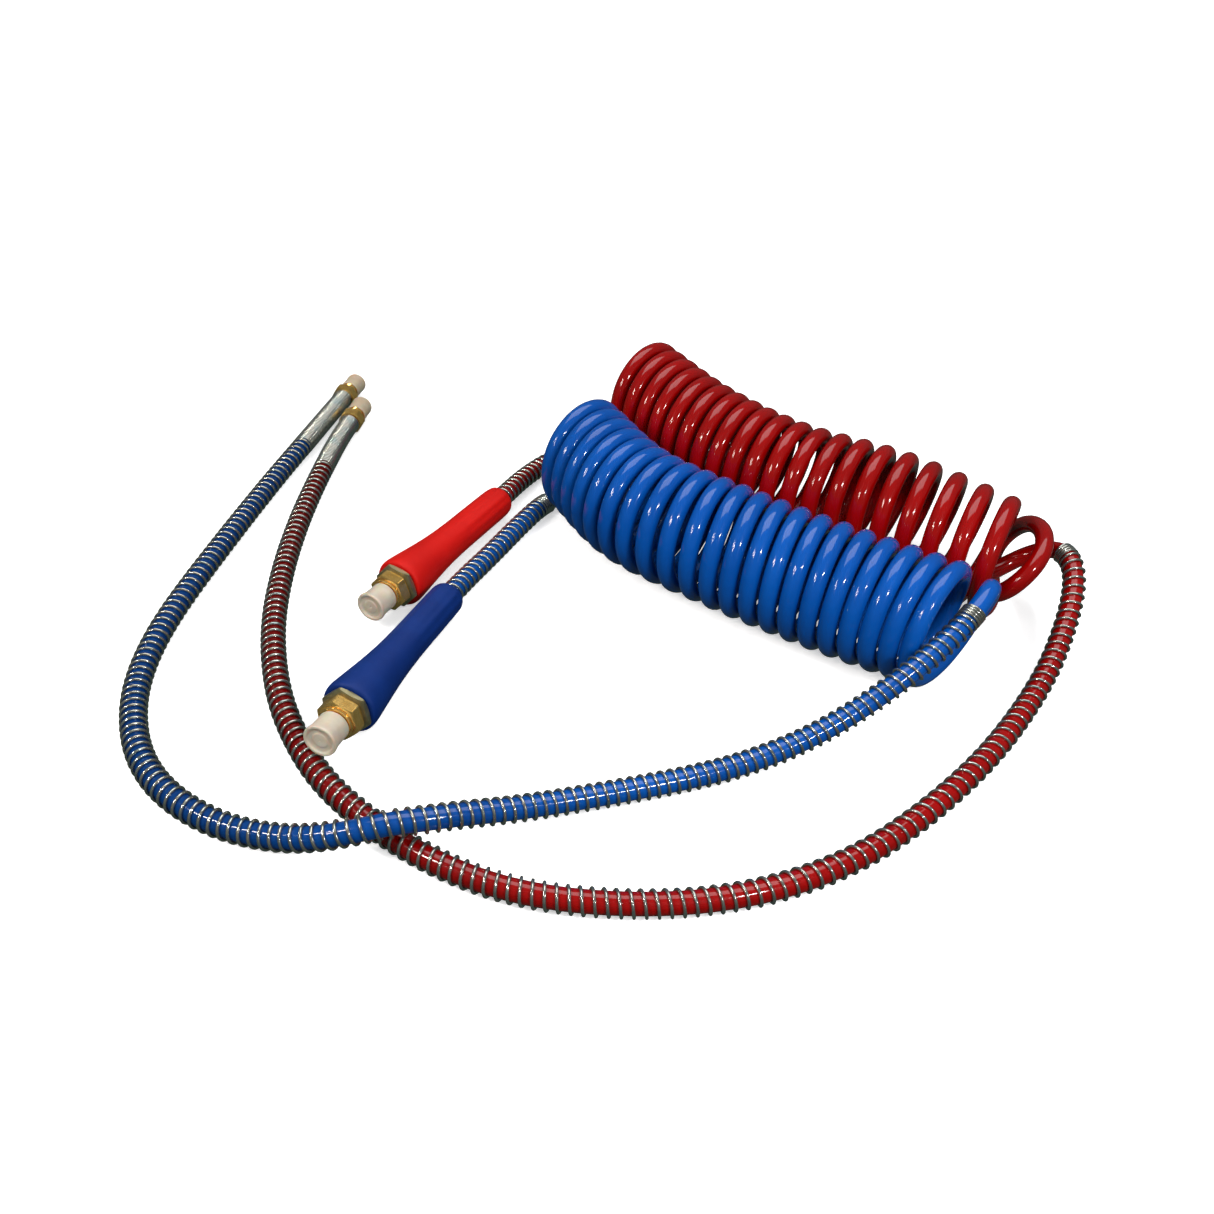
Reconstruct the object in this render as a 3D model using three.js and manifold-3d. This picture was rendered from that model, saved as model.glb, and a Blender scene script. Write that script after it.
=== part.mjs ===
// Coiled air hose set: two coiled nylon hoses, one red and one blue, lying side by side.
// Each hose has a long lead and a short lead under a wire spring guard. The long lead
// ends in a rigid threaded fitting, and the short lead ends in a rubber grip with a
// swivelling threaded fitting. Every thread wears a push-on cap.
// Millimetres, +Z up, floor at z = 0, origin under the middle of the whole layout.

import * as THREE from 'three';
import { mergeVertices } from 'three/addons/utils/BufferGeometryUtils.js';
import Module from 'manifold-3d';

const wasm = await Module();
wasm.setup();

// ---------------------------------------------------------------- driving dimensions
const TUBE_RADIUS = 7.5;             // 15 mm nylon tube
const COIL_RADIUS = 45.85;           // middle of the tube to the coil's axis
const COIL_HEIGHT = 53.65;           // height of the coil's axis
const TURNS_PER_TABLE = 20;          // the coil tables below span this many turns
const COIL_SIDES = 20;
const COIL_STEPS = 10;

const SPRING_OUTER = 9.65;           // spring guard: a sleeve in place of the wire
const SPRING_INNER = 8;
const SPRING_SIDES = 10;
const TUBE_SIDES = 8;
const BARE_STEP = 14;                // distance between sections of the bare tube
const GUARDED_STEP = 30;             // and of the tube under a spring guard

const GRIP_LENGTH = 159.6;
const GRIP_BORE = 10.8;
const ROUND = 20;                    // facets round a turned piece
const GAP = 0.3;

// stations along a grip's axis, from the thin end of the grip
const TUBE_STOP = 139;
const SPRING_STOP = 124;
const SLEEVE_SPAN = [129, 152];
const JAM_HEX = [159.9, 164.3];
const SPIGOT_END = 173;
const SWIVEL_HEX = [165, 175.2];
const COLLAR_END = 177.4;
const SWIVEL_END = 195;
const SEAL_AT = 170;
const GRIP_CAP_SPAN = [178.4, 198];

// stations along a far fitting's axis, from the end of the spring guard
const END_HEX = [0.6, 9.6];
const END_NECK = 11;
const END_THREAD = 34;
const END_CAP_SPAN = [16.5, 37.5];

const JAM_FLATS = 33.4;              // across flats
const SWIVEL_FLATS = 28.6;
const END_FLATS = 22;
const COLLAR_RADIUS = 12.2;
const THREAD_RADIUS = 9.9;
const END_THREAD_RADIUS = 8.55;

// inside, outside and rim radius of each cap
const GRIP_CAP = [10.4, 11.4, 12.5];
const END_CAP = [9, 9.9, 10.2];

const CENTRE = [25, 7];             // the layout's middle, which becomes the origin

// ---------------------------------------------------------------- how each hose lies
// A coil table row is [x, y, heading in degrees] of the coil's axis, one row every
// five turns. A lead is a list of points on the hose's centre line.
const RED = {
  name: 'red',
  coil: [[17, 286, -41], [78, 207, -36], [150, 150, -32], [243, 114, -30], [340.5, 42.5, -31]],
  coilSpan: [0.5, 18.3],
  loopFrom: 18.7,
  loopTo: 19.5,
  loop: [
    [338, 68, 7.9], [341, 89, 8.5], [343, 108, 13], [348, 119, 24], [355, 121, 39],
    [360, 111, 55], [361, 92, 69], [361, 69, 77], [357, 47, 77], [349, 30, 70],
    [337, 21, 56], [327, 23, 40], [321, 37, 27], [320, 57, 23], [329, 73, 23],
    [345, 83, 27], [361, 87, 38], [375, 81, 51],
  ],
  lead: [
    [384, 69, 59], [388, 52, 58], [387, 32, 50], [380, 8, 38], [370, -16, 27],
    [355, -46, 17], [330, -85, 9.7], [296, -133, 9.7], [263, -172, 9.7],
    [224, -212, 9.7], [186, -245, 9.7], [144, -271, 9.7], [102, -289, 9.7],
    [58, -300, 9.7], [9, -305, 9.7], [-39, -303, 9.7], [-85, -290, 9.7],
    [-129, -267, 9.7], [-168, -239, 9.7], [-194, -211, 9.7], [-220, -173, 9.7],
    [-238, -136, 9.7], [-256, -85, 9.7], [-267, -33, 9.7], [-275, 26, 9.7],
    [-279.5, 91, 9.7], [-280, 156, 11], [-278.5, 208, 12.6], [-276, 237, 12.6],
  ],
  shortLead: [
    [-14, 262, 9.7], [-40, 242, 9.7], [-64, 218, 9.7], [-84, 189, 10], [-98, 155, 12.5],
  ],
  grip: { end: [-108.7, 122.2, 14.6], towards: [-0.385, -0.923], tilt: 2.3 },
};

const BLUE = {
  name: 'blue',
  coil: [[-36, 153, -41], [17, 78, -38], [93, 30, -25], [172, -10, -27], [254, -45, -38]],
  coilSpan: [0.5, 20],
  loopFrom: 20.5,
  loopTo: 20.7,
  loop: [
    [299, -17, 57], [297, -24, 75], [291, -36, 88], [284, -50, 90],
  ],
  lead: [
    [275, -63, 84], [263, -76, 76], [248, -90, 67], [231, -104, 57], [212, -117, 45],
    [190, -130, 32], [163, -146, 21], [130, -164, 13], [91, -184, 9.7], [46, -203, 9.7],
    [-1, -221, 9.7], [-47, -243, 16], [-79, -259, 25], [-104, -272, 30.5],
    [-120, -278, 32], [-135, -283, 30.5], [-158, -287, 24], [-184, -285, 15],
    [-212, -280, 10.5], [-235, -274, 9.7], [-258, -264, 9.7], [-282, -248, 9.7],
    [-303, -225, 9.7], [-318, -198, 9.7], [-330, -166, 9.7], [-337, -125, 9.7],
    [-338, -75, 9.7], [-333, -13, 9.7], [-327, 51, 9.7], [-319, 126, 9.7],
    [-308, 200, 11], [-299.5, 256, 12.6], [-295.5, 285, 12.6],
  ],
  shortLead: [
    [-66, 136, 9.7], [-76, 116, 9.7], [-89, 85, 9.7], [-104, 45, 9.7], [-118, 8, 12],
  ],
  grip: { end: [-129.2, -27.1, 14.9], towards: [-0.262, -0.965], tilt: 5.4 },
};

// ---------------------------------------------------------------- materials
function finish(color, roughness, metalness) {
  return new THREE.MeshStandardMaterial({ color, roughness, metalness });
}

const NYLON = { red: finish(0x8c0505, 0.2, 0), blue: finish(0x0a4baf, 0.2, 0) };
const RUBBER = { red: finish(0xc8140f, 0.7, 0), blue: finish(0x0f2d78, 0.7, 0) };
const ZINC = finish(0xa8aaa6, 0.35, 1);
const BRASS = finish(0xc8a05a, 0.3, 1);
const DARK_BRASS = finish(0x8a7a4a, 0.4, 1);
const CLEAR_CAP = finish(0xcdbfae, 0.5, 0);
const SEAL = finish(0x1a1a1a, 0.8, 0);

// ---------------------------------------------------------------- small helpers
function vector(point) {
  return new THREE.Vector3(point[0], point[1], point[2]);
}

// A smooth line guided by a list of points, starting and ending on the first and last.
class GuidedLine extends THREE.Curve {
  constructor(points) {
    super();
    const last = points.length - 1;
    this.spans = last;
    this.guides = [
      points[0].clone().multiplyScalar(2).sub(points[1]),
      ...points,
      points[last].clone().multiplyScalar(2).sub(points[last - 1]),
    ];
    this.arcLengthDivisions = 1500;
  }

  getPoint(t, target = new THREE.Vector3()) {
    const along = t * this.spans;
    const first = Math.min(Math.floor(along), this.spans - 1);
    const w = along - first;
    const weights = [
      (1 - w) ** 3 / 6,
      (3 * w ** 3 - 6 * w ** 2 + 4) / 6,
      (-3 * w ** 3 + 3 * w ** 2 + 3 * w + 1) / 6,
      w ** 3 / 6,
    ];
    target.set(0, 0, 0);
    weights.forEach((weight, i) => target.addScaledVector(this.guides[first + i], weight));
    return target;
  }
}

// A line cut at chosen fractions of its length, so that two pipes on it can share them.
class Stations extends THREE.Curve {
  constructor(line, fractions) {
    super();
    this.line = line;
    this.fractions = fractions;
  }

  fractionAt(u) {
    return this.fractions[Math.round(u * (this.fractions.length - 1))];
  }

  getPointAt(u) {
    return this.line.getPointAt(this.fractionAt(u));
  }

  getTangentAt(u) {
    return this.line.getTangentAt(this.fractionAt(u));
  }
}

function polygon(radius, sides) {
  const corners = [];
  for (let i = 0; i < sides; i += 1) {
    const angle = (i + 0.5) * 2 * Math.PI / sides;
    corners.push(new THREE.Vector2(radius * Math.cos(angle), radius * Math.sin(angle)));
  }
  return corners;
}

function ringShape(outer, inner, sides) {
  const shape = new THREE.Shape(polygon(outer, sides));
  if (inner > 0) shape.holes.push(new THREE.Path(polygon(inner, sides)));
  return shape;
}

function volumeOf(geometry) {
  const at = geometry.getAttribute('position');
  const a = new THREE.Vector3();
  const b = new THREE.Vector3();
  const c = new THREE.Vector3();
  const order = geometry.index ? geometry.index.array : [...Array(at.count).keys()];
  let sum = 0;
  for (let i = 0; i < order.length; i += 3) {
    a.fromBufferAttribute(at, order[i]);
    b.fromBufferAttribute(at, order[i + 1]);
    c.fromBufferAttribute(at, order[i + 2]);
    sum += a.dot(b.cross(c)) / 6;
  }
  return sum;
}

// Shared corners, no slivers, faces pointing out.
function closed(source) {
  const geometry = source.clone();
  geometry.deleteAttribute('normal');
  geometry.deleteAttribute('uv');
  const merged = mergeVertices(geometry, 1e-3);
  const old = merged.index.array;
  const flip = volumeOf(merged) < 0;
  const kept = [];
  for (let i = 0; i < old.length; i += 3) {
    const [a, b, c] = [old[i], old[i + 1], old[i + 2]];
    if (a === b || b === c || c === a) continue;
    if (flip) kept.push(a, c, b);
    else kept.push(a, b, c);
  }
  merged.setIndex(kept);
  return merged;
}

function solid(geometry) {
  const body = closed(geometry);
  return new wasm.Manifold(new wasm.Mesh({
    numProp: 3,
    vertProperties: new Float32Array(body.getAttribute('position').array),
    triVerts: new Uint32Array(body.index.array),
  }));
}

function geometryOf(manifold) {
  const mesh = manifold.getMesh();
  const geometry = new THREE.BufferGeometry();
  geometry.setAttribute('position', new THREE.BufferAttribute(mesh.vertProperties, 3));
  geometry.setIndex(new THREE.BufferAttribute(mesh.triVerts, 1));
  geometry.computeVertexNormals();
  return geometry;
}

// A piece turned about +Z from a list of [radius, height] corners.
function turned(profile, segments = ROUND) {
  const corners = profile.map(([radius, height]) => new THREE.Vector2(radius, height));
  const first = corners[0];
  const last = corners[corners.length - 1];
  if (first.x > 0 || last.x > 0) corners.push(first.clone());
  const geometry = new THREE.LatheGeometry(corners, segments);
  geometry.rotateX(Math.PI / 2);
  return closed(geometry);
}

function hexBar(flats, [low, high]) {
  const shape = new THREE.Shape(polygon(flats / Math.sqrt(3), 6));
  const geometry = new THREE.ExtrudeGeometry(shape, { depth: high - low, bevelEnabled: false });
  geometry.translate(0, 0, low);
  return geometry;
}

// A hex bar whose corners are chamfered by a cone at either end.
function hexNut(flats, [low, high]) {
  const corner = flats / Math.sqrt(3) + 0.2;
  const shoulder = flats / 2 + 0.3;
  const drop = (corner - shoulder) * 0.6;
  const cone = turned([
    [0, low], [shoulder, low], [corner, low + drop], [corner, high - drop],
    [shoulder, high], [0, high],
  ]);
  return solid(hexBar(flats, [low, high])).intersect(solid(cone));
}

function cylinder(radius, [low, high], segments = ROUND) {
  return turned([[0, low], [radius, low], [radius, high], [0, high]], segments);
}

const set = new THREE.Group();
set.position.set(-CENTRE[0], -CENTRE[1], 0);

function add(parent, name, geometry, material) {
  const mesh = new THREE.Mesh(geometry, material);
  mesh.name = name;
  parent.add(mesh);
  return mesh;
}

// A group whose +Z runs along an axis, so turned pieces can be built upright in it.
function axisGroup(origin, direction) {
  const group = new THREE.Group();
  group.position.copy(origin);
  group.quaternion.setFromUnitVectors(new THREE.Vector3(0, 0, 1), direction);
  set.add(group);
  return group;
}

// ---------------------------------------------------------------- the coil
// Middle and heading of the coil after a number of turns, smoothly through its table.
function coilFrame(table, turn) {
  const rows = table.length - 1;
  const along = turn / TURNS_PER_TABLE * rows;
  const first = Math.min(Math.max(Math.floor(along), 0), rows - 1);
  const w = along - first;
  const row = (i) => {
    if (i < 0) return table[0].map((value, k) => 2 * value - table[1][k]);
    if (i > rows) return table[rows].map((value, k) => 2 * value - table[rows - 1][k]);
    return table[i];
  };
  const [p, q, r, s] = [row(first - 1), row(first), row(first + 1), row(first + 2)];
  const [x, y, heading] = q.map((value, k) => 0.5 * (2 * value + (r[k] - p[k]) * w
    + (2 * p[k] - 5 * value + 4 * r[k] - s[k]) * w ** 2
    + (3 * value - p[k] - 3 * r[k] + s[k]) * w ** 3));
  const turnedBy = heading * Math.PI / 180;
  return {
    middle: new THREE.Vector3(x, y, COIL_HEIGHT),
    back: new THREE.Vector3(-Math.sin(turnedBy), Math.cos(turnedBy), 0),
  };
}

// A point of the tube's centre line: turn 0 is on top, and it winds down the front.
function coilPoint(table, turn) {
  const { middle, back } = coilFrame(table, turn);
  const angle = Math.PI / 2 + 2 * Math.PI * turn;
  middle.addScaledVector(back, COIL_RADIUS * Math.cos(angle));
  middle.z += COIL_RADIUS * Math.sin(angle);
  return middle;
}

function coilPoints(table, from, to, perTurn = 20) {
  const count = Math.max(2, Math.round(Math.abs(to - from) * perTurn));
  const points = [];
  for (let i = 0; i <= count; i += 1) {
    points.push(coilPoint(table, from + (to - from) * i / count));
  }
  return points;
}

// The wound turns as one thick pipe of the coil's outer and inner diameter.
function coilBody(table, [from, to]) {
  const shape = ringShape(COIL_RADIUS + TUBE_RADIUS, COIL_RADIUS - TUBE_RADIUS, COIL_SIDES);
  const geometry = new THREE.ExtrudeGeometry(shape, {
    depth: 1, steps: COIL_STEPS, bevelEnabled: false,
  });
  const at = geometry.getAttribute('position');
  for (let i = 0; i < at.count; i += 1) {
    const { middle, back } = coilFrame(table, from + (to - from) * at.getZ(i));
    middle.addScaledVector(back, at.getX(i));
    middle.z += at.getY(i);
    at.setXYZ(i, middle.x, middle.y, middle.z);
  }
  return closed(geometry);
}

// ---------------------------------------------------------------- leads and guards
function nearestFraction(line, point) {
  const samples = 8000;
  let best = 0;
  let bestDistance = Infinity;
  for (let i = 0; i <= samples; i += 1) {
    const distance = line.getPointAt(i / samples).distanceTo(point);
    if (distance < bestDistance) {
      bestDistance = distance;
      best = i / samples;
    }
  }
  return best;
}

function pipe(line, fractions, outer, inner, sides) {
  const geometry = new THREE.ExtrudeGeometry(ringShape(outer, inner, sides), {
    steps: fractions.length - 1, extrudePath: new Stations(line, fractions), bevelEnabled: false,
  });
  return closed(geometry);
}

function evenFractions(from, to, count) {
  return Array.from({ length: count + 1 }, (_, i) => from + (to - from) * i / count);
}

// The tube of one lead, and the spring guard over it between two points of it.
function addLead(name, points, guardFrom, guardTo, nylon) {
  const line = new GuidedLine(points);
  const length = line.getLength();
  const from = nearestFraction(line, guardFrom);
  const to = nearestFraction(line, guardTo);
  const guarded = evenFractions(from, to, Math.round((to - from) * length / GUARDED_STEP));
  const before = evenFractions(0, from, Math.round(from * length / BARE_STEP));
  const after = evenFractions(to, 1, 1);
  const all = [...before.slice(0, -1), ...guarded, ...after.slice(1)];
  add(set, `${name}_tube`, pipe(line, all, TUBE_RADIUS, 0, TUBE_SIDES), nylon);
  add(set, `${name}_spring`, pipe(line, guarded, SPRING_OUTER, SPRING_INNER, SPRING_SIDES), ZINC);
}

// ---------------------------------------------------------------- grip end
function gripSleeve() {
  return turned([
    [GRIP_BORE, 0], [13.2, 0], [14.25, 1.6], [14.4, 66], [15.2, 95], [17.2, 120],
    [19.4, 140], [20.7, 153], [20.9, 156.6], [20.3, 158.8], [18.8, GRIP_LENGTH],
    [13.6, GRIP_LENGTH], [13.6, 125.6], [GRIP_BORE, 125],
  ]);
}

// Socket for the tube, hex that closes the grip, and the spigot that the swivel turns on.
function gripFitting() {
  const outside = turned([
    [0, 125.6], [9.6, 125.6], [9.6, JAM_HEX[0]], [7.6, JAM_HEX[0]], [7.6, SEAL_AT - 1.1],
    [6.4, SEAL_AT - 1.1], [6.4, SEAL_AT + 1.1], [7.6, SEAL_AT + 1.1], [7.6, SPIGOT_END],
    [0, SPIGOT_END],
  ]);
  const socket = cylinder(TUBE_RADIUS + GAP, [125, TUBE_STOP + GAP]);
  const bore = cylinder(4.4, [TUBE_STOP, SPIGOT_END + 1]);
  return geometryOf(
    solid(outside).add(hexNut(JAM_FLATS, JAM_HEX)).subtract(solid(socket)).subtract(solid(bore)),
  );
}

function crimpSleeve() {
  const [low, high] = SLEEVE_SPAN;
  return turned([
    [9.95, low], [12.4, low], [12.9, low + 4], [12.3, low + 8], [12.9, low + 12],
    [12.9, high - 1], [12.4, high], [9.95, high],
  ]);
}

function swivelBody() {
  const barrel = turned([
    [0, SWIVEL_HEX[1] - 1], [COLLAR_RADIUS, SWIVEL_HEX[1] - 1], [COLLAR_RADIUS, COLLAR_END - 0.6],
    [COLLAR_RADIUS - 0.6, COLLAR_END], [THREAD_RADIUS, COLLAR_END],
    [THREAD_RADIUS, SWIVEL_END - 1], [THREAD_RADIUS - 1, SWIVEL_END], [0, SWIVEL_END],
  ]);
  const socket = cylinder(8, [SWIVEL_HEX[0] - 1, SPIGOT_END + 0.6]);
  const bore = cylinder(5, [SPIGOT_END, SWIVEL_END + 1]);
  return geometryOf(
    hexNut(SWIVEL_FLATS, SWIVEL_HEX).add(solid(barrel)).subtract(solid(socket)).subtract(solid(bore)),
  );
}

function sealRing() {
  const corners = [];
  for (let i = 0; i < 6; i += 1) {
    const angle = i * Math.PI / 3;
    corners.push([7.2 + 0.55 * Math.cos(angle), SEAL_AT + 0.55 * Math.sin(angle)]);
  }
  return turned(corners);
}

// A push-on cap: open end low, closed face recessed inside a flared rim.
function cap([low, high], [inner, outer, rim]) {
  return turned([
    [inner, low], [outer, low], [outer, high - 6], [rim, high - 1.2],
    [rim - 0.6, high], [inner - 1, high], [inner - 1.6, high - 1.4], [0, high - 1.4],
    [0, high - 2.8], [inner, high - 2.8],
  ]);
}

function addGripEnd(name, grip, rubber) {
  const tilt = grip.tilt * Math.PI / 180;
  const direction = new THREE.Vector3(
    grip.towards[0] * Math.cos(tilt), grip.towards[1] * Math.cos(tilt), Math.sin(tilt),
  ).normalize();
  const axis = axisGroup(vector(grip.end), direction);
  add(axis, `${name}_grip`, gripSleeve(), rubber);
  add(axis, `${name}_grip_fitting`, gripFitting(), DARK_BRASS);
  add(axis, `${name}_crimp_sleeve`, crimpSleeve(), BRASS);
  add(axis, `${name}_seal_ring`, sealRing(), SEAL);
  add(axis, `${name}_swivel`, swivelBody(), BRASS);
  add(axis, `${name}_grip_cap`, cap(GRIP_CAP_SPAN, GRIP_CAP), CLEAR_CAP);
  return direction;
}

// ---------------------------------------------------------------- far end
function endFitting() {
  const barrel = turned([
    [0, END_HEX[1] - 1], [7.9, END_HEX[1] - 1], [7.9, END_NECK],
    [END_THREAD_RADIUS, END_NECK + 0.6], [END_THREAD_RADIUS, END_THREAD - 1],
    [END_THREAD_RADIUS - 1, END_THREAD], [0, END_THREAD],
  ]);
  const socket = cylinder(8.9, [-1, 6]);
  const bore = cylinder(4.4, [5, END_THREAD + 1]);
  return geometryOf(
    hexNut(END_FLATS, END_HEX).add(solid(barrel)).subtract(solid(socket)).subtract(solid(bore)),
  );
}

// Ring that the fitting presses onto the tube inside its socket.
function gripRing() {
  return turned([[7.75, 0.8], [8.5, 0.8], [8.5, 3.6], [8.2, 5.2], [7.75, 5.2]]);
}

function addFarEnd(name, lead) {
  const end = vector(lead[lead.length - 1]);
  const direction = end.clone().sub(vector(lead[lead.length - 2])).normalize();
  const axis = axisGroup(end, direction);
  // one flat of the hex lies on the floor
  const roll = new THREE.Vector3(1, 0, 0).applyQuaternion(axis.quaternion);
  const level = new THREE.Vector3(0, 0, 1).cross(direction);
  const angle = Math.atan2(roll.clone().cross(level).dot(direction), roll.dot(level));
  axis.rotateZ(angle + Math.PI / 2);
  add(axis, `${name}_end_fitting`, endFitting(), BRASS);
  add(axis, `${name}_grip_ring`, gripRing(), BRASS);
  add(axis, `${name}_end_cap`, cap(END_CAP_SPAN, END_CAP), CLEAR_CAP);
  return direction;
}

// ---------------------------------------------------------------- one hose
function addHose(hose) {
  const { name, coil, grip } = hose;
  const nylon = NYLON[name];
  add(set, `${name}_coil`, coilBody(coil, hose.coilSpan), nylon);

  const gripDirection = addGripEnd(name, grip, RUBBER[name]);
  const gripEnd = vector(grip.end);
  const inGrip = (distance) => gripEnd.clone().addScaledVector(gripDirection, distance);
  const shortPoints = [
    ...coilPoints(coil, 0, -0.5), ...hose.shortLead.map(vector),
    gripEnd, inGrip(22), inGrip(44), inGrip(66), inGrip(88), inGrip(110), inGrip(TUBE_STOP),
  ];
  addLead(`${name}_short`, shortPoints, vector(hose.shortLead[0]), inGrip(SPRING_STOP), nylon);

  const farDirection = addFarEnd(name, hose.lead);
  const end = vector(hose.lead[hose.lead.length - 1]);
  const leadPoints = [
    ...coilPoints(coil, hose.loopFrom, hose.loopTo), ...hose.loop.map(vector),
    ...hose.lead.map(vector), end.clone().addScaledVector(farDirection, 5.4),
  ];
  addLead(`${name}_lead`, leadPoints, vector(hose.lead[0]), end, nylon);
}

addHose(RED);
addHose(BLUE);

export default set;
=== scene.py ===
"""Coiled air hose set: a red and a blue nylon coil hose with wire spring guards,
rubber grips, brass threaded ends and push-on caps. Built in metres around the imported
frame. Lengths in the tables below are in millimetres, as the frame's own source has them.
"""

import math

import bmesh
import bpy
from mathutils import Matrix, Vector


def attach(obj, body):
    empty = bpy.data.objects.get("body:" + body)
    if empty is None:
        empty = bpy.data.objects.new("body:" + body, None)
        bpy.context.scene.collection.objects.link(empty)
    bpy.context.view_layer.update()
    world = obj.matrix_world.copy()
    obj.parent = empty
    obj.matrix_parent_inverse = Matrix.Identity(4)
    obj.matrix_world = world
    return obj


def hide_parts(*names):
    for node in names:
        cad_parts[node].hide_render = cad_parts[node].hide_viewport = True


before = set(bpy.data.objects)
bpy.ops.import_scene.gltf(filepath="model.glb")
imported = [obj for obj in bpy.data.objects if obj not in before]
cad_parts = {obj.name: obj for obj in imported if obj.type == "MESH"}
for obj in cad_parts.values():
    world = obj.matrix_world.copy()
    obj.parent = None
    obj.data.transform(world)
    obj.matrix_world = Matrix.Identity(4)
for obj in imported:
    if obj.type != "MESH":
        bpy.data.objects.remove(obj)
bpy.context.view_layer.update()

MM = 0.001

# ------------------------------------------------------------------ dimensions (mm)
CENTRE = Vector((25, 7, 0))
TUBE_RADIUS = 7.5
COIL_RADIUS = 45.85
COIL_HEIGHT = 53.65
TURNS_PER_TABLE = 20
GUIDES_PER_TURN = 24
GUIDE_SHRINK = (2 + math.cos(math.tau / GUIDES_PER_TURN)) / 3

LINE_STEP = 4.5
SOCKET_DEPTH = 5.4

WIRE_RADIUS = 1.15
SPRING_RADIUS = 8.5
OPEN_PITCH = 7.4
CLOSE_PITCH = 2.35
STEPS_PER_COIL_OF_WIRE = 24
PITCH_CHANGE = 10
# close-wound length where a spring meets the coil or the grip
CLOSE_START = 9
CLOSE_SHORT_END = 12

TUBE_STOP = 139
SPRING_STOP = 124
JAM_HEX = (159.9, 164.3)
SPIGOT_END = 173
SWIVEL_HEX = (165, 175.2)
SWIVEL_END = 195
GRIP_CAP_SPAN = (178.4, 198)
END_HEX = (0.6, 9.6)
END_THREAD = 34
END_CAP_SPAN = (16.5, 37.5)
JAM_FLATS = 33.4
SWIVEL_FLATS = 28.6
END_FLATS = 22
THREAD_RADIUS = 9.9
THREAD_PITCH = 1.81
THREAD_DEPTH = 0.95
END_THREAD_RADIUS = 8.55
GRIP_BELL_END = 159.6
# inside, outside and rim radius of each cap
GRIP_CAP = (10.4, 11.4, 12.5)
END_CAP = (9, 9.9, 10.2)

# painted shade on the nylon: how dark it gets at the far ends, and where along X (metres) that sets in
DARKENED = 0.38
DARKEST_X = -0.30
UNDARKENED_X = -0.02

RED = {
    "name": "red",
    "coil": [(17, 286, -41), (78, 207, -36), (150, 150, -32), (243, 114, -30), (340.5, 42.5, -31)],
    "loop_to": 19.5,
    "loop": [
        (338, 68, 7.9), (341, 89, 8.5), (343, 108, 13), (348, 119, 24), (355, 121, 39),
        (360, 111, 55), (361, 92, 69), (361, 69, 77), (357, 47, 77), (349, 30, 70),
        (337, 21, 56), (327, 23, 40), (321, 37, 27), (320, 57, 23), (329, 73, 23),
        (345, 83, 27), (361, 87, 38), (375, 81, 51),
    ],
    "lead": [
        (384, 69, 59), (388, 52, 58), (387, 32, 50), (380, 8, 38), (370, -16, 27),
        (355, -46, 17), (330, -85, 9.7), (296, -133, 9.7), (263, -172, 9.7),
        (224, -212, 9.7), (186, -245, 9.7), (144, -271, 9.7), (102, -289, 9.7),
        (58, -300, 9.7), (9, -305, 9.7), (-39, -303, 9.7), (-85, -290, 9.7),
        (-129, -267, 9.7), (-168, -239, 9.7), (-194, -211, 9.7), (-220, -173, 9.7),
        (-238, -136, 9.7), (-256, -85, 9.7), (-267, -33, 9.7), (-275, 26, 9.7),
        (-279.5, 91, 9.7), (-280, 156, 11), (-278.5, 208, 12.6), (-276, 237, 12.6),
    ],
    "short_lead": [
        (-14, 262, 9.7), (-40, 242, 9.7), (-64, 218, 9.7), (-84, 189, 10), (-98, 155, 12.5),
    ],
    "grip": {"end": (-108.7, 122.2, 14.6), "towards": (-0.385, -0.923), "tilt": 2.3},
    "close_wound_end": 84,
    # where the spring is pulled open or pushed shut: place, extra pitch and reach
    "stretch": (270, 3.0, 190),
}

BLUE = {
    "name": "blue",
    "coil": [(-36, 153, -41), (17, 78, -38), (93, 30, -25), (172, -10, -27), (254, -45, -38)],
    "loop_to": 20.7,
    "loop": [
        (299, -17, 57), (297, -24, 75), (291, -36, 88), (284, -50, 90),
    ],
    "lead": [
        (275, -63, 84), (263, -76, 76), (248, -90, 67), (231, -104, 57), (212, -117, 45),
        (190, -130, 32), (163, -146, 21), (130, -164, 13), (91, -184, 9.7), (46, -203, 9.7),
        (-1, -221, 9.7), (-47, -243, 16), (-79, -259, 25), (-104, -272, 30.5),
        (-120, -278, 32), (-135, -283, 30.5), (-158, -287, 24), (-184, -285, 15),
        (-212, -280, 10.5), (-235, -274, 9.7), (-258, -264, 9.7), (-282, -248, 9.7),
        (-303, -225, 9.7), (-318, -198, 9.7), (-330, -166, 9.7), (-337, -125, 9.7),
        (-338, -75, 9.7), (-333, -13, 9.7), (-327, 51, 9.7), (-319, 126, 9.7),
        (-308, 200, 11), (-299.5, 256, 12.6), (-295.5, 285, 12.6),
    ],
    "short_lead": [
        (-66, 136, 9.7), (-76, 116, 9.7), (-89, 85, 9.7), (-104, 45, 9.7), (-118, 8, 12),
    ],
    "grip": {"end": (-129.2, -27.1, 14.9), "towards": (-0.262, -0.965), "tilt": 5.4},
    "close_wound_end": 97,
    "stretch": (690, -0.9, 100),
}


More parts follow.
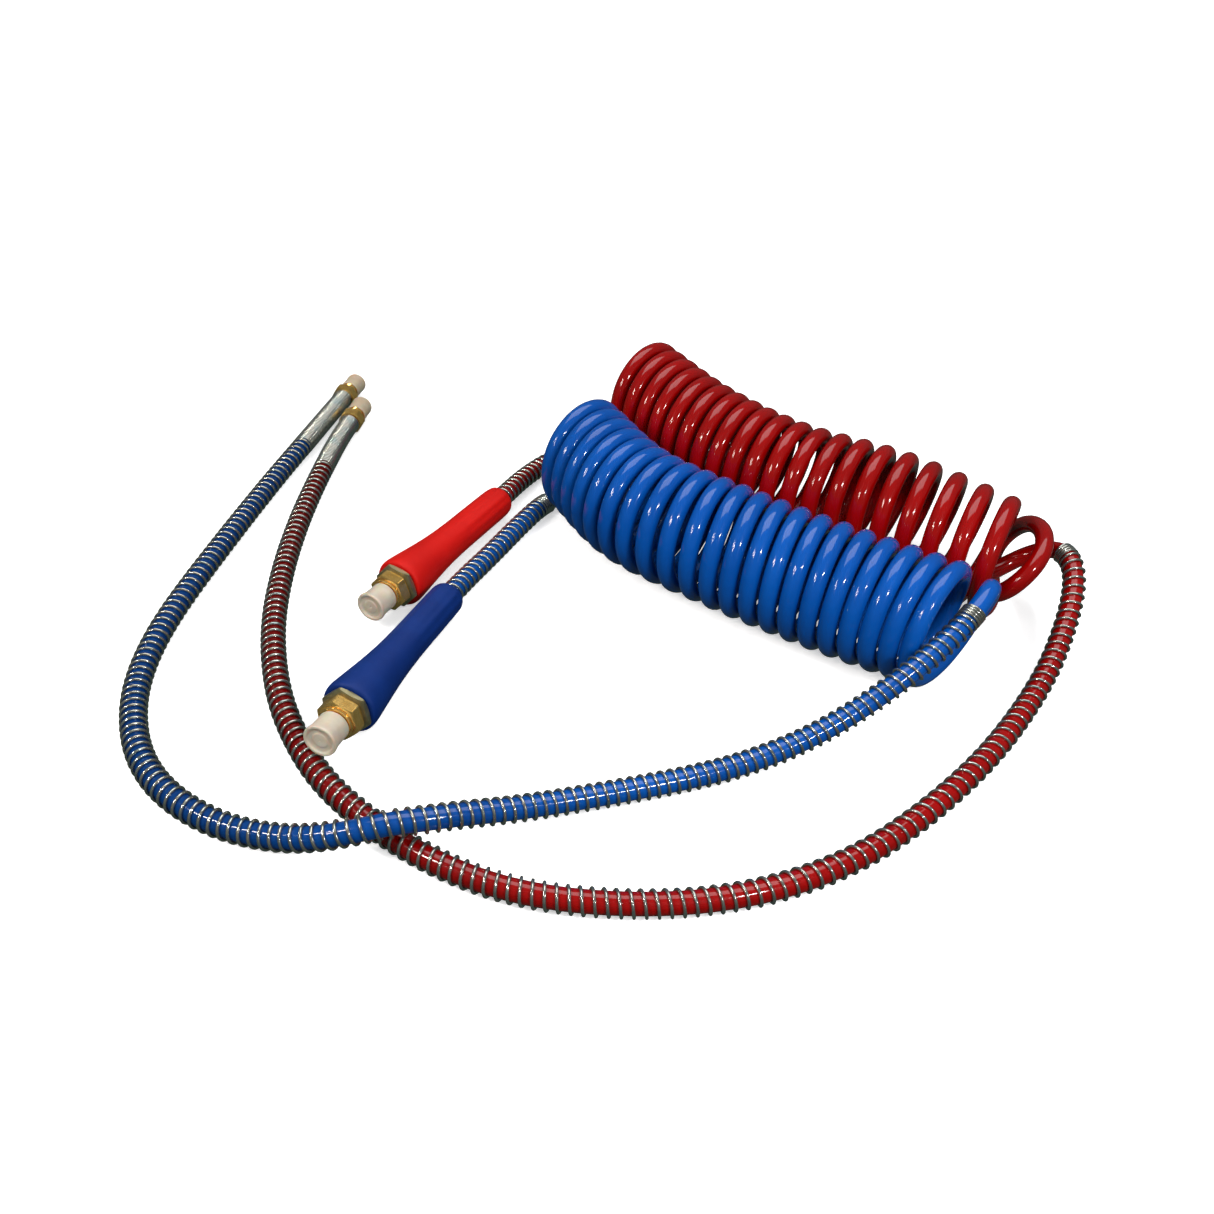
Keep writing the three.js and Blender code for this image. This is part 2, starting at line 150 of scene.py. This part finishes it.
# ------------------------------------------------------------------ camera
def add_camera():
    """Where the hoses are looked down on from: in front of the layout, slightly rolled."""
    elevation = math.radians(38.5)
    roll = math.radians(6.0)
    height = 566
    right = Vector((1, 0, 0))
    ahead = Vector((0, math.cos(elevation), -math.sin(elevation)))
    up = Vector((0, math.sin(elevation), math.cos(elevation)))
    rolled_right = math.cos(roll) * right + math.sin(roll) * up
    rolled_up = -math.sin(roll) * right + math.cos(roll) * up
    place = Vector((0, -height / math.tan(elevation), height)) - CENTRE
    data = bpy.data.cameras.new("camera")
    data.sensor_fit = "HORIZONTAL"
    data.sensor_width = 36
    data.lens = 32.06
    data.clip_start = 0.01
    data.clip_end = 60
    camera = bpy.data.objects.new("camera", data)
    turn = Matrix((rolled_right, rolled_up, -ahead)).transposed()
    camera.matrix_world = Matrix.Translation(place * MM) @ turn.to_4x4()
    bpy.context.collection.objects.link(camera)
    bpy.context.scene.camera = camera


# ------------------------------------------------------------------ lines (mm)
def guided(points, spacing):
    """A smooth line led by a list of points, cut into steps of about the spacing."""
    points = [Vector(p) for p in points]
    guides = [2 * points[0] - points[1]] + points + [2 * points[-1] - points[-2]]
    dense = []
    for i in range(len(points) - 1):
        a, b, c, d = guides[i:i + 4]
        pieces = max(2, math.ceil((c - b).length / 1.5))
        for k in range(pieces):
            w = k / pieces
            dense.append(
                a * (1 - w) ** 3 / 6
                + b * (3 * w ** 3 - 6 * w ** 2 + 4) / 6
                + c * (-3 * w ** 3 + 3 * w ** 2 + 3 * w + 1) / 6
                + d * w ** 3 / 6
            )
    dense.append(points[-1].copy())
    return evenly(dense, spacing)


def evenly(points, spacing):
    """The same line with its points an even distance apart."""
    reach = [0.0]
    for a, b in zip(points, points[1:]):
        reach.append(reach[-1] + (b - a).length)
    count = max(2, round(reach[-1] / spacing))
    result = []
    k = 0
    for i in range(count + 1):
        s = reach[-1] * i / count
        while k < len(points) - 2 and reach[k + 1] < s:
            k += 1
        span = max(reach[k + 1] - reach[k], 1e-9)
        result.append(points[k].lerp(points[k + 1], (s - reach[k]) / span))
    return result


def line_length(points):
    return sum((b - a).length for a, b in zip(points, points[1:]))


def nearest_index(points, target):
    target = Vector(target)
    return min(range(len(points)), key=lambda i: (points[i] - target).length)


def coil_frame(table, turn):
    """Middle of the coil and its level direction backwards, after a number of turns."""
    rows = len(table) - 1
    along = turn / TURNS_PER_TABLE * rows
    first = min(max(math.floor(along), 0), rows - 1)
    w = along - first

    def row(i):
        if i < 0:
            return 2 * Vector(table[0]) - Vector(table[1])
        if i > rows:
            return 2 * Vector(table[rows]) - Vector(table[rows - 1])
        return Vector(table[i])

    p, q, r, s = (row(first + k) for k in (-1, 0, 1, 2))
    x, y, heading = 0.5 * (
        2 * q + (r - p) * w + (2 * p - 5 * q + 4 * r - s) * w ** 2
        + (3 * q - p - 3 * r + s) * w ** 3
    )
    angle = math.radians(heading)
    return Vector((x, y, COIL_HEIGHT)), Vector((-math.sin(angle), math.cos(angle), 0))


def coil_points(table, start, stop):
    """Guides of the wound turns: turn 0 is on top, and it winds down the front."""
    count = round((stop - start) * GUIDES_PER_TURN)
    radius = COIL_RADIUS / GUIDE_SHRINK
    points = []
    for i in range(count + 1):
        turn = start + (stop - start) * i / count
        middle, back = coil_frame(table, turn)
        angle = math.pi / 2 + math.tau * turn
        points.append(middle + radius * (math.cos(angle) * back + math.sin(angle) * Vector((0, 0, 1))))
    return points


def grip_direction(grip):
    tilt = math.radians(grip["tilt"])
    x, y = grip["towards"]
    return Vector((x * math.cos(tilt), y * math.cos(tilt), math.sin(tilt))).normalized()


def hose_guides(hose):
    """Guides of a whole hose, from its end inside the grip to its far fitting."""
    direction = grip_direction(hose["grip"])
    end = Vector(hose["grip"]["end"])
    in_grip = [end + direction * d for d in (TUBE_STOP, 110, 88, 66, 44, 22, 0)]
    lead = [Vector(p) for p in hose["lead"]]
    beyond = lead[-1] + (lead[-1] - lead[-2]).normalized() * SOCKET_DEPTH
    return (
        in_grip
        + [Vector(p) for p in reversed(hose["short_lead"])]
        + coil_points(hose["coil"], -0.5, hose["loop_to"])
        + [Vector(p) for p in hose["loop"]]
        + lead
        + [beyond]
    )


# ------------------------------------------------------------------ making pieces
def placed(point):
    """A point of the tables as a place in the scene."""
    return (Vector(point) - CENTRE) * MM


def curve_piece(name, points, radius, side_steps, material, body):
    """A round bar of one radius along a line of points."""
    data = bpy.data.curves.new(name, "CURVE")
    data.dimensions = "3D"
    data.bevel_depth = radius * MM
    data.bevel_resolution = side_steps
    data.use_fill_caps = True
    data.twist_mode = "MINIMUM"
    spline = data.splines.new("POLY")
    spline.points.add(len(points) - 1)
    for spot, point in zip(spline.points, points):
        spot.co = (*placed(point), 1)
    spline.use_smooth = True
    data.materials.append(material)
    piece = bpy.data.objects.new(name, data)
    bpy.context.collection.objects.link(piece)
    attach(piece, body)
    return piece


def axis_matrix(origin, direction, roll=0.0):
    """Turns +Z onto an axis through a point of the tables, in metres."""
    turn = Vector((0, 0, 1)).rotation_difference(direction).to_matrix().to_4x4()
    return Matrix.Translation(placed(origin)) @ turn @ Matrix.Rotation(roll, 4, "Z")


def hex_angles():
    """Angles round a piece, with each corner of a hexagon flattened a little."""
    angles = [math.tau * i / 96 for i in range(96)]
    for k in range(6):
        corner = math.radians(30 + 60 * k)
        angles += [corner - 0.02, corner + 0.02]
    return sorted(angles)


ANGLES = hex_angles()


def hexagon(flats, angle):
    """Distance to a hexagon's side, its corners cut off by a hair."""
    turned = (math.degrees(angle) + 30) % 60 - 30
    corner = math.cos(math.radians(30) - 0.02)
    return flats / 2 / max(math.cos(math.radians(turned)), corner)


def ring_mesh(name, rows, matrix, material, body, sharp=32):
    """A turned piece: each row gives a radius and height for each angle round it."""
    mesh = bpy.data.meshes.new(name)
    bm = bmesh.new()
    loops = []
    for row in rows:
        if row is None:
            loops.append(None)
            continue
        loop = []
        for angle in ANGLES:
            radius, height = row(angle)
            loop.append(bm.verts.new((radius * math.cos(angle), radius * math.sin(angle), height)))
        loops.append(loop)
    count = len(ANGLES)
    for lower, upper in zip(loops, loops[1:] + loops[:1]):
        if lower is None or upper is None:
            continue
        for i in range(count):
            k = (i + 1) % count
            bm.faces.new((lower[i], lower[k], upper[k], upper[i]))
    if loops[-1] is None:
        for loop, order in ((loops[0], -1), (loops[-2], 1)):
            bm.faces.new(loop[::order])
    bmesh.ops.recalc_face_normals(bm, faces=bm.faces)
    bm.to_mesh(mesh)
    bm.free()
    mesh.transform(matrix @ Matrix.Scale(MM, 4))
    for polygon in mesh.polygons:
        polygon.use_smooth = True
    mesh.set_sharp_from_angle(angle=math.radians(sharp))
    mesh.materials.append(material)
    piece = bpy.data.objects.new(name, mesh)
    bpy.context.collection.objects.link(piece)
    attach(piece, body)
    return piece


def circle(radius, height):
    return lambda angle: (radius, height)


def hex_rows(flats, low, high):
    """Rows of a chamfered hex from its lower face to its upper one."""
    shoulder = flats / 2 - 0.2
    slope = 0.55

    def at_corner(sign, edge):
        def row(angle):
            side = hexagon(flats, angle)
            return side, edge + sign * (side - shoulder) * slope
        return row

    return [circle(shoulder, low), at_corner(1, low), at_corner(-1, high), circle(shoulder, high)]


def thread_rows(low, high, radius=THREAD_RADIUS):
    """Rows of a right-handed pipe thread that fades out at both ends."""
    steps = round((high - low) / THREAD_PITCH * 8)
    rows = []
    for i in range(steps + 1):
        z = low + (high - low) * i / steps

        def row(angle, z=z):
            phase = (z / THREAD_PITCH - angle / math.tau) % 1
            groove = 1 - abs(2 * phase - 1)
            groove = min(max((groove - 0.15) / 0.7, 0), 1)
            fade = min((z - low) / 1.2, (high - z) / 1.2, 1)
            return radius - THREAD_DEPTH * groove * max(fade, 0), z

        rows.append(row)
    return rows


def rounded(profile, width):
    """Corners of a profile of (radius, height) cut into short soft bends."""
    points = [Vector(p) for p in profile]
    result = []
    for i, here in enumerate(points):
        before = points[i - 1]
        after = points[(i + 1) % len(points)]
        reach_in = min(width, (before - here).length * 0.45)
        reach_out = min(width, (after - here).length * 0.45)
        start = here + (before - here).normalized() * reach_in
        stop = here + (after - here).normalized() * reach_out
        for w in (0, 0.25, 0.5, 0.75, 1):
            result.append(start * (1 - w) ** 2 + here * 2 * w * (1 - w) + stop * w ** 2)
    return [circle(p.x, p.y) for p in result]


# ------------------------------------------------------------------ materials
class Look:
    """A material's nodes, with short calls for the few kinds used here."""

    def __init__(self, name):
        self.material = bpy.data.materials.new(name)
        self.material.use_nodes = True
        self.tree = self.material.node_tree
        self.tree.nodes.clear()
        self.shader = self.tree.nodes.new("ShaderNodeBsdfPrincipled")
        output = self.tree.nodes.new("ShaderNodeOutputMaterial")
        self.tree.links.new(self.shader.outputs[0], output.inputs["Surface"])
        self.place = self.tree.nodes.new("ShaderNodeTexCoord").outputs["Object"]

    def link(self, source, target):
        self.tree.links.new(source, target)

    def set(self, **values):
        for key, value in values.items():
            self.shader.inputs[key.replace("_", " ")].default_value = value

    def noise(self, scale, detail=3.0, stretch=(1, 1, 1), roughness=0.5):
        mapping = self.tree.nodes.new("ShaderNodeMapping")
        mapping.inputs["Scale"].default_value = stretch
        self.link(self.place, mapping.inputs["Vector"])
        node = self.tree.nodes.new("ShaderNodeTexNoise")
        node.inputs["Scale"].default_value = scale
        node.inputs["Detail"].default_value = detail
        node.inputs["Roughness"].default_value = roughness
        self.link(mapping.outputs[0], node.inputs["Vector"])
        return node.outputs["Fac"]

    def ramp(self, value, stops):
        node = self.tree.nodes.new("ShaderNodeValToRGB")
        node.color_ramp.elements[0].position = stops[0][0]
        node.color_ramp.elements[0].color = (*stops[0][1], 1)
        node.color_ramp.elements[1].position = stops[-1][0]
        node.color_ramp.elements[1].color = (*stops[-1][1], 1)
        for position, color in stops[1:-1]:
            node.color_ramp.elements.new(position).color = (*color, 1)
        self.link(value, node.inputs["Fac"])
        return node.outputs["Color"]

    def range(self, value, low, high):
        node = self.tree.nodes.new("ShaderNodeMapRange")
        node.inputs["To Min"].default_value = low
        node.inputs["To Max"].default_value = high
        self.link(value, node.inputs["Value"])
        return node.outputs["Result"]

    def bump(self, value, distance, strength=1.0):
        node = self.tree.nodes.new("ShaderNodeBump")
        node.inputs["Distance"].default_value = distance
        node.inputs["Strength"].default_value = strength
        self.link(value, node.inputs["Height"])
        self.link(node.outputs["Normal"], self.shader.inputs["Normal"])


def nylon(name, dark, bright):
    """Glossy extruded nylon: deep colour, faint waviness, a few duller patches, and painted shade that
    darkens it towards -X, where the far ends of the leads lie.
    """
    look = Look(name)
    cloud = look.noise(18, 4)
    tone = look.ramp(cloud, [(0.3, dark), (0.7, bright)])
    # painted shade: darker towards the far ends of the leads, standing in for the shade the spring
    # wires cast on the tube there
    split = look.tree.nodes.new("ShaderNodeSeparateXYZ")
    look.link(look.place, split.inputs[0])
    painted_shade = look.range(split.outputs["X"], DARKENED, 1.0)
    painted_shade.node.inputs["From Min"].default_value = DARKEST_X
    painted_shade.node.inputs["From Max"].default_value = UNDARKENED_X
    darkened = look.tree.nodes.new("ShaderNodeVectorMath")
    darkened.operation = "SCALE"
    look.link(tone, darkened.inputs[0])
    look.link(painted_shade, darkened.inputs["Scale"])
    look.link(darkened.outputs[0], look.shader.inputs["Base Color"])
    look.link(look.range(look.noise(60, 5), 0.05, 0.14), look.shader.inputs["Roughness"])
    look.set(IOR=1.5)
    look.bump(look.noise(160, 2), 0.00012, 0.3)
    return look.material


def rubber(name, dark, bright):
    """Moulded rubber: matte, with a fine grain and a faint cloudiness."""
    look = Look(name)
    cloud = look.noise(25, 5)
    look.link(look.ramp(cloud, [(0.35, dark), (0.65, bright)]), look.shader.inputs["Base Color"])
    look.link(look.range(look.noise(90, 4), 0.48, 0.66), look.shader.inputs["Roughness"])
    look.set(Specular_IOR_Level=0.22)
    look.bump(look.noise(1500, 3), 0.00006, 0.5)
    return look.material


def zinc_wire():
    """Zinc plated spring wire: bright, with a warm and a cool cast in patches."""
    look = Look("zinc_wire")
    cloud = look.noise(60, 3)
    tones = [(0.3, (0.40, 0.44, 0.41)), (0.5, (0.52, 0.51, 0.46)), (0.7, (0.38, 0.46, 0.45))]
    look.link(look.ramp(cloud, tones), look.shader.inputs["Base Color"])
    look.link(look.range(look.noise(300, 3), 0.14, 0.26), look.shader.inputs["Roughness"])
    look.set(Metallic=0.93)
    look.bump(look.noise(1400, 2), 0.00002, 0.25)
    return look.material


def brass(name, dark, bright, low, high):
    """Machined brass with tool marks and a little tarnish in patches."""
    look = Look(name)
    cloud = look.noise(160, 5)
    look.link(look.ramp(cloud, [(0.3, dark), (0.7, bright)]), look.shader.inputs["Base Color"])
    look.link(look.range(look.noise(400, 4), low, high), look.shader.inputs["Roughness"])
    look.set(Metallic=0.86)
    look.bump(look.noise(400, 2, (1, 1, 3)), 0.00002, 0.2)
    return look.material


def cap_plastic(name, dark, bright):
    """Cloudy natural polyethylene that lets the brass behind it show through faintly."""
    look = Look(name)
    cloud = look.noise(120, 3)
    look.link(look.ramp(cloud, [(0.3, dark), (0.7, bright)]), look.shader.inputs["Base Color"])
    look.link(look.range(look.noise(300, 3), 0.36, 0.5), look.shader.inputs["Roughness"])
    look.set(IOR=1.5, Transmission_Weight=0.25, Subsurface_Weight=0.4, Subsurface_Scale=0.003)
    look.bump(look.noise(700, 3), 0.00005, 0.5)
    return look.material


def seal_rubber():
    look = Look("seal_rubber")
    cloud = look.noise(300, 3)
    look.link(look.ramp(cloud, [(0.3, (0.01, 0.01, 0.01)), (0.7, (0.03, 0.03, 0.03))]),
              look.shader.inputs["Base Color"])
    look.set(Roughness=0.6)
    return look.material


def floor_paint():
    """White studio floor, lit a little from below, with the faintest unevenness."""
    look = Look("floor")
    cloud = look.noise(3, 4)
    look.link(look.ramp(cloud, [(0.3, (0.93, 0.93, 0.93)), (0.7, (0.95, 0.95, 0.95))]),
              look.shader.inputs["Base Color"])
    look.set(Roughness=0.9, Emission_Color=(1, 1, 1, 1))
    # the lights fade with distance, so the floor's own light makes up for them
    away = look.tree.nodes.new("ShaderNodeVectorMath")
    away.operation = "LENGTH"
    look.link(look.place, away.inputs[0])
    glow = look.range(away.outputs["Value"], 0.55, 1.0)
    glow.node.inputs["From Min"].default_value = 0.45
    glow.node.inputs["From Max"].default_value = 1.5
    look.link(glow, look.shader.inputs["Emission Strength"])
    return look.material


NYLON = {
    "red": nylon("nylon_red", (0.215, 0.0006, 0.0004), (0.275, 0.0010, 0.0008)),
    "blue": nylon("nylon_blue", (0.0010, 0.060, 0.30), (0.0015, 0.078, 0.37)),
}
RUBBER = {
    "red": rubber("rubber_red", (0.46, 0.003, 0.001), (0.54, 0.005, 0.002)),
    "blue": rubber("rubber_blue", (0.0015, 0.018, 0.125), (0.0025, 0.024, 0.155)),
}
ZINC = zinc_wire()
BRASS = brass("brass", (0.86, 0.50, 0.12), (0.96, 0.64, 0.21), 0.10, 0.18)
DARK_BRASS = brass("dark_brass", (0.30, 0.27, 0.14), (0.46, 0.41, 0.23), 0.24, 0.4)
PALE_CAP = cap_plastic("cap_pale", (0.60, 0.52, 0.41), (0.70, 0.62, 0.51))
TAN_CAP = cap_plastic("cap_tan", (0.54, 0.43, 0.30), (0.63, 0.52, 0.38))
SEAL = seal_rubber()


# ------------------------------------------------------------------ the spring guards
def spring_line(points, close_start, close_end, stretch=(0, 0, 1)):
    """A right-handed wire wound round a line: open in the middle, close at both ends."""
    total = line_length(points)
    # frames carried along the line without twist
    tangents = [(points[min(i + 1, len(points) - 1)] - points[max(i - 1, 0)]).normalized()
                for i in range(len(points))]
    side = tangents[0].orthogonal().normalized()
    sides = [side]
    for before, after in zip(tangents, tangents[1:]):
        side = before.rotation_difference(after) @ side
        side = (side - after * side.dot(after)).normalized()
        sides.append(side)

    def pitch(s):
        into = min(max((s - close_start) / PITCH_CHANGE, 0), 1)
        out_of = min(max((total - close_end - s) / PITCH_CHANGE, 0), 1)
        opened = min(into, out_of)
        place, extra, reach = stretch
        widest = OPEN_PITCH + extra * math.exp(-((s - place) / reach) ** 2)
        return CLOSE_PITCH + (widest - CLOSE_PITCH) * opened

    step = total / (len(points) - 1)
    wire = []
    s = WIRE_RADIUS
    angle = 0.0
    while s < total - WIRE_RADIUS:
        k = min(int(s / step), len(points) - 2)
        w = s / step - k
        middle = points[k].lerp(points[k + 1], w)
        axis = tangents[k].lerp(tangents[k + 1], w).normalized()
        across = sides[k].lerp(sides[k + 1], w).normalized()
        other = axis.cross(across)
        wire.append(middle + SPRING_RADIUS * (math.cos(angle) * across + math.sin(angle) * other))
        angle += math.tau / STEPS_PER_COIL_OF_WIRE
        s += pitch(s) / STEPS_PER_COIL_OF_WIRE
    return wire


def add_springs(hose, line, direction):
    name = hose["name"]
    first = nearest_index(line, hose["lead"][0])
    last = nearest_index(line, hose["lead"][-1])
    wire = spring_line(line[first:last + 1], CLOSE_START, hose["close_wound_end"],
                       hose["stretch"])
    guard = curve_piece(f"{name}_lead_guard", wire, WIRE_RADIUS, 2, ZINC, "hoses")
    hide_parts(f"{name}_lead_spring")

    grip_end = Vector(hose["grip"]["end"])
    half = line[:len(line) // 4]
    first = nearest_index(half, grip_end + direction * SPRING_STOP)
    last = nearest_index(half, hose["short_lead"][0])
    wire = spring_line(half[first:last + 1], CLOSE_START, CLOSE_SHORT_END)
    guard = curve_piece(f"{name}_short_guard", wire, WIRE_RADIUS, 2, ZINC, "hoses")
    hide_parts(f"{name}_short_spring")


# ------------------------------------------------------------------ the grip end
def grip_rows():
    outer = [
        (10.8, 0), (12.9, 0), (14.2, 1.5), (14.35, 20), (14.4, 45), (14.5, 68), (14.9, 86),
        (15.7, 103), (17.1, 119), (18.6, 133), (19.8, 144), (20.6, 151), (20.75, 155),
        (20.5, 157.6), (19.8, 159.2), (18.4, 159.7), (16.5, 159.6),
    ]
    dense = guided([(r, z, 0) for r, z in outer], 1.2)
    profile = [(p.x, p.y) for p in dense]
    profile += [(13.6, GRIP_BELL_END), (13.6, 125.6), (10.8, 125)]
    rows = []
    for radius, height in profile:
        def row(angle, radius=radius, height=height):
            # shallow flutes along the thin end, fading towards the bell
            fade = min(max((95 - height) / 45, 0), 1) * min(max(height / 6, 0), 1)
            flute = 0.22 * math.cos(12 * angle) if radius > 13.9 else 0
            return radius + flute * fade, height
        rows.append(row)
    return rows


def cap_rows(low, high, radii):
    """A cap's outside, its flared rim, the recess in its end, and its hollow inside."""
    inner, outer, rim = radii
    outside = [
        (inner, low), (outer - 0.1, low), (outer, high - 8),
        (outer + 0.3 * (rim - outer), high - 5.2),
        (rim, high - 1.6), (rim - 0.4, high), (inner - 0.2, high), (inner - 1.4, high - 1.3),
        (6.2, high - 1.5), (5.4, high - 0.9), (0.4, high - 0.9),
        (0.4, high - 2.8), (inner, high - 2.8),
    ]
    return rounded(outside, 0.7)


def add_grip_end(hose):
    name = hose["name"]
    direction = grip_direction(hose["grip"])
    matrix = axis_matrix(hose["grip"]["end"], direction)

    grip = ring_mesh(f"{name}_rubber_grip", grip_rows(), matrix, RUBBER[name],
                     "hoses", 50)
    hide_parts(f"{name}_grip")

    rows = [circle(7.8, 125.6), circle(9.6, 125.6), circle(9.6, JAM_HEX[0])]
    rows += hex_rows(JAM_FLATS, *JAM_HEX)
    rows += [circle(7.6, JAM_HEX[1]), circle(7.6, 168.9), circle(6.4, 168.9), circle(6.4, 171.1),
             circle(7.6, 171.1), circle(7.6, SPIGOT_END), circle(4.4, SPIGOT_END),
             circle(4.4, TUBE_STOP + 0.3), circle(7.8, TUBE_STOP + 0.3)]
    body = ring_mesh(f"{name}_hose_end", rows, matrix, DARK_BRASS, "hoses")
    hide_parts(f"{name}_grip_fitting")

    low, high = SWIVEL_HEX
    rows = [circle(8, low)] + hex_rows(SWIVEL_FLATS, low, high)
    rows += [circle(12.1, high + 0.1), circle(12.5, high + 0.6), circle(12.5, high + 1.2),
             circle(12.1, high + 1.8), circle(11.2, high + 2.1), circle(10.2, high + 2.2)]
    rows += thread_rows(high + 2.4, SWIVEL_END - 1)
    rows += [circle(THREAD_RADIUS - 1, SWIVEL_END), circle(5, SWIVEL_END),
             circle(5, SPIGOT_END + 0.6), circle(8, SPIGOT_END + 0.6)]
    swivel = ring_mesh(f"{name}_swivel_nut", rows, matrix, BRASS, f"{name}_swivel")
    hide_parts(f"{name}_swivel")

    low, high = GRIP_CAP_SPAN
    cap = ring_mesh(f"{name}_swivel_cap", cap_rows(low, high, GRIP_CAP), matrix, PALE_CAP,
                    f"{name}_grip_cap", 60)
    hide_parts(f"{name}_grip_cap")
    return direction


# ------------------------------------------------------------------ the far end
def add_far_end(hose):
    name = hose["name"]
    end = Vector(hose["lead"][-1])
    direction = (end - Vector(hose["lead"][-2])).normalized()
    turn = Vector((0, 0, 1)).rotation_difference(direction)
    across = turn @ Vector((1, 0, 0))
    level = Vector((0, 0, 1)).cross(direction)
    roll = math.atan2(across.cross(level).dot(direction), across.dot(level)) + math.pi / 2
    matrix = axis_matrix(end, direction, roll)

    rows = [circle(8.9, END_HEX[0])] + hex_rows(END_FLATS, *END_HEX)
    rows += [circle(8.6, END_HEX[1]), circle(8, END_HEX[1] + 0.5), circle(8, 10.8)]
    rows += thread_rows(11.2, END_THREAD - 1, END_THREAD_RADIUS)
    rows += [circle(END_THREAD_RADIUS - 1, END_THREAD), circle(4.4, END_THREAD), circle(4.4, 6),
             circle(8.9, 6)]
    fitting = ring_mesh(f"{name}_rigid_end", rows, matrix, BRASS, "hoses")
    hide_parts(f"{name}_end_fitting")

    low, high = END_CAP_SPAN
    cap = ring_mesh(f"{name}_far_cap", cap_rows(low, high, END_CAP), matrix, TAN_CAP,
                    f"{name}_end_cap", 60)
    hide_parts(f"{name}_end_cap")
    return fitting


# ------------------------------------------------------------------ one hose
def add_hose(hose):
    name = hose["name"]
    line = guided(hose_guides(hose), LINE_STEP)
    tube = curve_piece(f"{name}_hose", line, TUBE_RADIUS, 9, NYLON[name], "hoses")
    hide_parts(f"{name}_coil", f"{name}_lead_tube", f"{name}_short_tube")
    direction = add_grip_end(hose)
    fitting = add_far_end(hose)
    add_springs(hose, line, direction)
    for node, material in ((f"{name}_crimp_sleeve", BRASS), (f"{name}_grip_ring", BRASS),
                           (f"{name}_seal_ring", SEAL)):
        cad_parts[node].data.materials.clear()
        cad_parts[node].data.materials.append(material)


# ------------------------------------------------------------------ floor and light
def add_floor():
    mesh = bpy.data.meshes.new("floor")
    bm = bmesh.new()
    reach = 20
    corners = [(-reach, -reach, 0), (reach, -reach, 0), (reach, reach, 0), (-reach, reach, 0)]
    bm.faces.new([bm.verts.new(c) for c in corners])
    bm.to_mesh(mesh)
    bm.free()
    mesh.materials.append(floor_paint())
    floor = bpy.data.objects.new("floor", mesh)
    bpy.context.collection.objects.link(floor)
    # the hoses stand against a dim room, as if the white floor were only behind them
    floor.visible_diffuse = False
    floor.visible_glossy = False


def area_light(name, place, target, size, power, color=(1, 1, 1)):
    data = bpy.data.lights.new(name, "AREA")
    data.shape = "RECTANGLE"
    data.size, data.size_y = size
    data.energy = power
    data.color = color
    light = bpy.data.objects.new(name, data)
    place = Vector(place)
    aim = (Vector(target) - place).to_track_quat("-Z", "Y")
    light.matrix_world = Matrix.Translation(place) @ aim.to_matrix().to_4x4()
    bpy.context.collection.objects.link(light)
    return light


def add_lights():
    middle = (0.05, 0, 0.03)
    # soft light that only fills; the small lights below it make the reflections
    for name, place, power in (("soft_right", (0.75, -0.95, 1.15), 14),
                               ("soft_left", (-0.95, -0.75, 1.25), 10)):
        area_light(name, place, middle, (1.0, 1.0), power).visible_glossy = False
    area_light("overhead", (0.05, 0.55, 1.6), middle, (1.7, 1.2), 16)
    area_light("dot", (0.60, -0.72, 0.74), middle, (0.12, 0.06), 3.2)
    area_light("streak_a", (-0.72, -0.66, 0.84), middle, (0.045, 0.24), 3.0, (1, 0.93, 0.84))
    area_light("streak_b", (-0.92, -0.42, 0.86), middle, (0.045, 0.24), 3.0, (1, 0.93, 0.84))
    add_room()
    bpy.context.scene.view_settings.view_transform = "Standard"


def add_room():
    """Room light: pale ceiling, darker walls, and a dim grey-green ground."""
    world = bpy.data.worlds.new("world")
    world.use_nodes = True
    tree = world.node_tree
    place = tree.nodes.new("ShaderNodeTexCoord")
    split = tree.nodes.new("ShaderNodeSeparateXYZ")
    ramp = tree.nodes.new("ShaderNodeValToRGB")
    height = tree.nodes.new("ShaderNodeMapRange")
    height.inputs["From Min"].default_value = -1
    tree.links.new(place.outputs["Generated"], split.inputs[0])
    tree.links.new(split.outputs["Z"], height.inputs["Value"])
    tree.links.new(height.outputs["Result"], ramp.inputs["Fac"])
    # the room lights and reflects, and what is seen past the floor's edge is plain white
    seen = tree.nodes.new("ShaderNodeMix")
    seen.data_type = "RGBA"
    seen.inputs[7].default_value = (1, 1, 1, 1)
    tree.links.new(tree.nodes.new("ShaderNodeLightPath").outputs["Is Camera Ray"], seen.inputs[0])
    tree.links.new(ramp.outputs["Color"], seen.inputs[6])
    tree.links.new(seen.outputs[2], tree.nodes["Background"].inputs["Color"])
    stops = [(0.0, (0.05, 0.07, 0.06)), (0.5, (0.05, 0.07, 0.065)), (0.56, (0.10, 0.12, 0.12)),
             (0.8, (0.14, 0.15, 0.15)), (1.0, (0.2, 0.2, 0.2))]
    elements = ramp.color_ramp.elements
    elements[0].position, elements[0].color = stops[0][0], (*stops[0][1], 1)
    elements[1].position, elements[1].color = stops[-1][0], (*stops[-1][1], 1)
    for position, color in stops[1:-1]:
        elements.new(position).color = (*color, 1)
    bpy.context.scene.world = world


add_camera()
add_hose(RED)
add_hose(BLUE)
add_floor()
add_lights()
